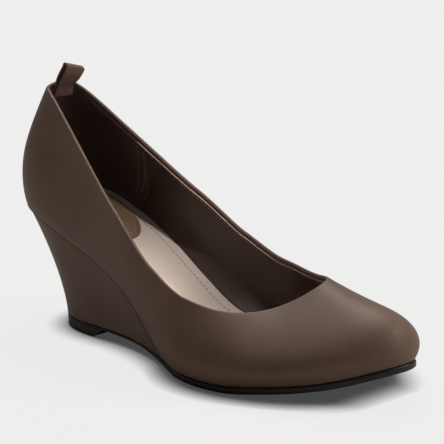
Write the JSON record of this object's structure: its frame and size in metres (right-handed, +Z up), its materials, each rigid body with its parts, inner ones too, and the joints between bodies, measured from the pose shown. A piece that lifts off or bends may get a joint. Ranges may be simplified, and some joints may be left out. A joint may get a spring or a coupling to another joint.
{
  "type": "wedge pump",
  "caption": "Slip-on women's shoe with a low-cut rounded vamp, a covered wedge heel, a thin outsole and a heel pull loop.",
  "frame": {"origin": "middle of the shoe's footprint box, on the floor", "axes": "+X from the heel to the toe, +Y to the inner side of the foot, +Z up"},
  "size_m": [0.2402, 0.0928, 0.1234],
  "materials": {
    "upper_leather": "smooth semi-matte taupe leather, dark brown lining",
    "wedge_leather": "the upper's leather, wrapped over the wedge",
    "outsole_rubber": "black, slightly glossy edge",
    "top_piece_rubber": "black, matte",
    "insole_sock": "matte pinkish beige",
    "heel_pad_leather": "brown, stitched near its edge",
    "loop_leather": "folded taupe leather tape"
  },
  "bodies": {
    "root": {"upper": "upper_leather", "wedge": "wedge_leather", "outsole": "outsole_rubber", "top_piece": "top_piece_rubber", "insole": "insole_sock", "heel_pad": "heel_pad_leather", "pull_loop": "loop_leather"}
  },
  "joints": []
}
